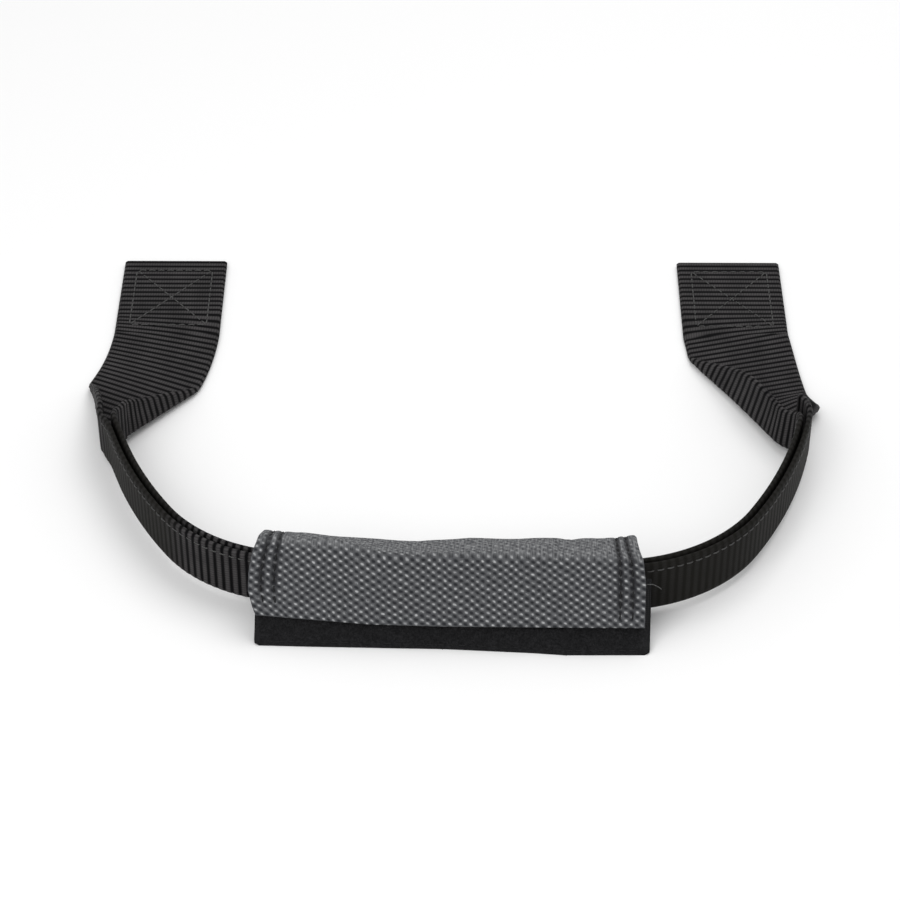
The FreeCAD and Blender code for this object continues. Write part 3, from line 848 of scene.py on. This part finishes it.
row, place = np.meshgrid(np.arange(LOOP_ROWS), np.arange(LOOPS_IN_ROW), indexing="ij")
row, place = row.ravel(), place.ravel()
across = TAPE_FROM + LOOPS_START + (place + 0.5 * (row % 2)) * LOOPS_RUN / LOOPS_IN_ROW
across += ripples.normal(0, LOOP_STRAY, len(row))
far = LOOPS_UP + row * LOOPS_RISE / LOOP_ROWS + ripples.normal(0, LOOP_STRAY, len(row))
turned = ripples.uniform(0, 2 * math.pi, len(row))
spread = ripples.uniform(*LOOP_SPREAD, len(row))
height = ripples.uniform(*LOOP_HEIGHT, len(row))
lean = ripples.normal(0, LOOP_LEAN, (2, len(row)))
side_step = np.cos(turned)[:, None] * spread[:, None] * LOOP_BOW[:, 0]
far_step = np.sin(turned)[:, None] * spread[:, None] * LOOP_BOW[:, 0]
side_step += lean[0][:, None] * np.clip(LOOP_BOW[:, 1], 0, 1)
far_step += lean[1][:, None] * np.clip(LOOP_BOW[:, 1], 0, 1)
lift = height[:, None] * LOOP_BOW[:, 1]
loops = on_slope(across[:, None] + side_step, far[:, None] + far_step,
                 TAPE_THICK - LOOP_BACKING - LOOP_SUNK - lift)
across_loop = np.stack([-np.sin(turned), np.cos(turned) * math.cos(SLOPE),
                        np.cos(turned) * math.sin(SLOPE)], axis=1)
pile = threads("loop_pile", loops, across_loop, LOOP_YARN, sides=4)


def black_tape(name, pale):
    """Black nylon tape: a close knitted ground with faint lint."""
    material, shader, place = finish_of(name, pattern="object", Specular_IOR_Level=0.1)
    knit = place.noise(2.2, 3.0)
    lint = place.noise(0.5, 5.0)
    colour = (knit * (0.5 + lint)).between(0.2, 1.1).mixed(TAPE_BLACK, pale)
    set_to(shader, knit + lint * 0.4, 0.15 * MM, Base_Color=colour,
           Roughness=0.75 + lint * 0.15)
    return material


loop_black = black_tape("loop_black", (0.032, 0.032, 0.034, 1))
for piece in (loop_tape, pile):
    piece.data.materials.append(loop_black)
    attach(piece, "grip")
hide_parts("loop_tape")


# ---- Hook tape ----
# Black tape sewn inside the closing flap, with rows of small stiff nylon hooks that grip the
# loops.

HOOK_FROM, HOOK_TO = -60.5, 62.5
HOOK_LOW, HOOK_HIGH = 9.85, 24.3
HOOK_DEPTH, HOOK_BACKING = -1.1, 0.48
HOOK_ROWS, HOOKS_IN_ROW = 9, 76
HOOKS_START, HOOKS_UP = 2, 2.2
HOOKS_RUN, HOOKS_RISE = 118.5, 11.4
HOOK_BOW = np.array([(-0.25, -0.1), (-0.22, 0.3), (-0.05, 0.58), (0.25, 0.62), (0.42, 0.4)])
HOOK_YARN = 0.1 * MM

hook_skin, hook_lay = tape_grid(HOOK_FROM, HOOK_TO, HOOK_LOW, HOOK_HIGH, HOOK_DEPTH, up=False)
over, under = trimmed(TAPE_CLEAR, HOOK_BACKING, hook_lay[..., 0], -hook_lay[..., 1],
                      HOOK_FROM, HOOK_TO)
hook_tape = cloth("hook_tape_band", hook_skin, over, under, hook_lay)

row, place = np.meshgrid(np.arange(HOOK_ROWS), np.arange(HOOKS_IN_ROW), indexing="ij")
row, place = row.ravel(), place.ravel()
across = HOOK_FROM + HOOKS_START + (place + 0.5 * (row % 2)) * HOOKS_RUN / HOOKS_IN_ROW
far = HOOK_LOW + HOOKS_UP + row * HOOKS_RISE / HOOK_ROWS
way = np.where(place % 2, 1, -1)[:, None]
hooks = on_slope(across[:, None] + way * HOOK_BOW[:, 0], far[:, None],
                 HOOK_DEPTH + HOOK_BOW[:, 1])
up_the_slope = np.array([0, math.cos(SLOPE), math.sin(SLOPE)])
hook_rows = threads("hook_rows", hooks, up_the_slope * way, HOOK_YARN, sides=4)
hook_black = black_tape("hook_black", (0.026, 0.026, 0.028, 1))
for piece in (hook_tape, hook_rows):
    piece.data.materials.append(hook_black)
    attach(piece, "closing_flap")
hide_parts("hook_tape")


# ---- Stitching ----
# Black bonded thread, 0.5 mm thick, in stitches 2.4 mm long: two rows across each end of the
# wrap, a row along each edge of the tapes, a seam along each folded leg, and a box and cross
# through each flat end of the strap. One loose end of thread hangs from the wrap's right end.

THREAD = 0.5 * MM
THREAD_TWIST = 0.55
THREAD_BLACK = (0.004, 0.004, 0.0045, 1)
STITCH = 2.4 * MM
STITCH_PITCH = 3.4 * MM
STITCH_AT = STITCH * np.array([-0.5, -0.36, 0, 0.36, 0.5])
STITCH_RISE = THREAD * np.array([-0.75, 0.05, 0.28, 0.05, -0.75])

# Where the rows lie: round the wrap from its ridge, up and in from each tape's edges and ends,
# and along and up the folded strap
FLAP_ROW, GRIP_ROW_FROM, GRIP_ROW_SPARE = (-20, 0.9), 1.4, 3
ROW_LOWEST = 0.2 * MM
TAPE_ROW_INSET, TAPE_ROW_POINTS = 3, 90
LOOP_ROWS_UP, LOOP_ROW_DEPTH = (1.8, 22.6), 0.42
HOOK_ROW_INSET = 1.1
SEAM_FROM, SEAM_SPARE, SEAM_DROP = 48 * MM, 2 * MM, 3 * MM
BOX_HALF, BOX_POINTS = 14 * MM, 20
BOX_FROM, BOX_TO = 5 * MM, 40 * MM
STRAP_TOP = 2 * (WEB_HALF_THICK + RIB_RISE)

# The loose end: where it starts round from the ridge, and its path from there in millimetres
TAIL_AT = -8
TAIL = [(-0.6, 0.3, -0.4), (0.8, 0.4, -0.3), (2.0, 0.3, -0.1), (3.2, -0.1, -0.3),
        (4.2, -0.3, -0.9), (4.9, -0.2, -1.6)]
TAIL_YARN = 0.16 * MM


def stitches(line, out):
    """The thread's path in each stitch along a line on the cloth, and which way is beside it."""
    line = np.asarray(line, float)
    out = np.broadcast_to(out, line.shape)
    reach = np.append(0, np.cumsum(np.linalg.norm(np.diff(line, axis=0), axis=1)))
    count = max(1, int((reach[-1] - STITCH) / STITCH_PITCH) + 1)
    spare = reach[-1] - STITCH - (count - 1) * STITCH_PITCH
    centres = spare / 2 + STITCH / 2 + np.arange(count) * STITCH_PITCH
    at = centres[:, None] + STITCH_AT
    paths, outward = (np.stack([np.interp(at, reach, values[:, k]) for k in range(3)], axis=2)
                      for values in (line, out))
    beside = np.cross(paths[:, -1] - paths[:, 0], outward[:, 2])
    beside /= np.linalg.norm(beside, axis=1, keepdims=True)
    return paths + outward * STITCH_RISE[:, None], beside


def sewn(name, rows, body, finish, *nodes):
    """Rows of stitches as one piece that goes with a body."""
    paths, beside = (np.concatenate(parts) for parts in zip(*(stitches(*row) for row in rows)))
    piece = threads(name, paths, beside, THREAD / 2)
    piece.data.materials.append(finish)
    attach(piece, body)
    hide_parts(*nodes)


def sewing_thread(name, pale):
    """Twisted thread, darker where its two strands meet."""
    material, shader, place = finish_of(name, pattern="object", Specular_IOR_Level=0.2)
    along = place.part(0) + place.part(1) + place.part(2)
    twist = (along * (math.pi / THREAD_TWIST)).wave()
    fluff = place.noise(3.0, 2.0)
    colour = (twist * (0.4 + fluff)).mixed(THREAD_BLACK, pale)
    set_to(shader, twist + fluff * 0.3, 0.08 * MM, Base_Color=colour,
           Roughness=0.5 + fluff * 0.2)
    return material


black_thread = sewing_thread("black_thread", (0.02, 0.02, 0.021, 1))
# A paler grey copy of the black thread, for the leg seams, the box and cross and the loose end:
# its grey is painted highlight on black thread
grey_highlight_thread = sewing_thread("grey_highlight_thread", (0.12, 0.12, 0.118, 1))


def wrap_row(place, first, last):
    """The cover's face along one row across the grip, between two places round from the ridge."""
    i = np.abs(cover_x - place).argmin()
    chosen = (cover_around[i] >= first) & (cover_around[i] <= last)
    line = cover_face[i, chosen]
    line[:, 2] = np.maximum(line[:, 2], ROW_LOWEST)
    return line, cover_out[i, chosen]


for side, sign in (("left", -1), ("right", 1)):
    ends = [sign * (GRIP_HALF - gap) for gap in ROWS_FROM_END]
    under_flap = float(turns[0, 5]) - GRIP_ROW_SPARE
    sewn(side + "_grip_rows", [wrap_row(end, GRIP_ROW_FROM, under_flap) for end in ends],
         "grip", black_thread, side + "_grip_stitching")
    sewn(side + "_flap_rows", [wrap_row(end, *FLAP_ROW) for end in ends],
         "closing_flap", black_thread, side + "_flap_stitching")

along_tape = np.linspace(TAPE_FROM + TAPE_ROW_INSET, TAPE_TO - TAPE_ROW_INSET, TAPE_ROW_POINTS)
sewn("loop_tape_rows", [(on_slope(along_tape, far, LOOP_ROW_DEPTH), slope_out)
                        for far in LOOP_ROWS_UP],
     "grip", black_thread, "loop_tape_stitching")
along_tape = np.linspace(HOOK_FROM + TAPE_ROW_INSET, HOOK_TO - TAPE_ROW_INSET, TAPE_ROW_POINTS)
sewn("hook_tape_rows", [(on_slope(along_tape, far, HOOK_DEPTH), -slope_out)
                        for far in (HOOK_LOW + HOOK_ROW_INSET, HOOK_HIGH - HOOK_ROW_INSET)],
     "closing_flap", black_thread, "hook_tape_stitching")

for side, sign, skin, lay in (("left", -1, left_skin, left_lay),
                              ("right", 1, right_skin, right_lay)):
    along = np.abs(lay[:, WEB_COLUMNS // 2, 1]) * MM
    leg_end, hinge = strap_line(sign)[2]
    leg = (along > SEAM_FROM) & (along < leg_end - SEAM_SPARE)
    walls = []
    for edge in (-1, 1):
        k = np.abs(lay[0, :, 0] * MM - edge * (WEB_WIDTH / 2 - SEAM_DROP)).argmin()
        out = -facing(skin)[leg, k] * sign
        walls.append((skin[leg, k] + out * (WEB_HALF_THICK + 0.5 * RIB_RISE), out))
    sewn(side + "_seam", walls, "strap", grey_highlight_thread, side + "_fold_seam")
    corners = [at_case(sign * ANCHOR_X * MM + u * BOX_HALF, v, STRAP_TOP)
               for u, v in ((-1, BOX_FROM), (1, BOX_FROM), (1, BOX_TO), (-1, BOX_TO))]
    lines = [(0, 1), (1, 2), (2, 3), (3, 0), (0, 2), (1, 3)]
    box = [(np.linspace(corners[a], corners[b], BOX_POINTS), (0, 0, 1)) for a, b in lines]
    sewn(side + "_box_and_cross", box, "anchors", grey_highlight_thread, side + "_anchor_stitching")

tail_from = cover_face[-1, np.abs(cover_around[-1] - TAIL_AT).argmin()]
tail = tail_from + np.array(TAIL) * MM
loose_end = threads("loose_thread_end", tail[None], np.array([0.0, 1.0, 0.0]), TAIL_YARN, sides=6)
loose_end.data.materials.append(grey_highlight_thread)
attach(loose_end, "grip")


# ---- Floor, light and camera ----
# A pale sheet under the handle, soft light from large panels, and a view down onto the grip.

SHEET_SIZE, PAPER_WHITE = 6, (0.9, 0.9, 0.9, 1)
ROOM_LIGHT, ROOM_STRENGTH = (1, 1, 1, 1), 0.62
# Where each panel is, how wide it is and how strong
PANELS = {"front_panel": ((-0.35, -0.9, 0.9), 0.9, 7), "top_panel": ((0.25, 0.35, 1.1), 0.8, 5)}
# The camera, in millimetres: along the case edge, out in front of it and up; and its aim
CAMERA_ALONG, CAMERA_OUT, CAMERA_UP = 4.7, 923, 657.5
CAMERA_LENS = 125
CAMERA_AIM = (0, -77 * MM, 8 * MM)

bpy.ops.mesh.primitive_plane_add(size=SHEET_SIZE)
floor = bpy.context.object
floor.name = "floor"
paper = bpy.data.materials.new("white_paper")
paper.use_nodes = True
paper_shader = paper.node_tree.nodes["Principled BSDF"]
paper_shader.inputs["Base Color"].default_value = PAPER_WHITE
paper_shader.inputs["Roughness"].default_value = 0.8
floor.data.materials.append(paper)

world = bpy.data.worlds.new("studio")
bpy.context.scene.world = world
world.use_nodes = True
room = world.node_tree.nodes["Background"]
room.inputs["Color"].default_value = ROOM_LIGHT
room.inputs["Strength"].default_value = ROOM_STRENGTH
bpy.context.scene.view_settings.view_transform = "Standard"

for name, (place, size, power) in PANELS.items():
    bpy.ops.object.light_add(type="AREA", location=place)
    lamp = bpy.context.object
    lamp.name = name
    lamp.data.size = size
    lamp.data.energy = power
    lamp.rotation_euler = (-Vector(place)).to_track_quat("-Z", "Y").to_euler()

camera_place = np.append(case_edge + case_along * CAMERA_ALONG * MM
                         - case_back * CAMERA_OUT * MM, CAMERA_UP * MM)
bpy.ops.object.camera_add(location=camera_place)
camera = bpy.context.object
camera.data.lens = CAMERA_LENS
target = Vector(at_case(*CAMERA_AIM))
camera.rotation_euler = (target - camera.location).to_track_quat("-Z", "Y").to_euler()
bpy.context.scene.camera = camera
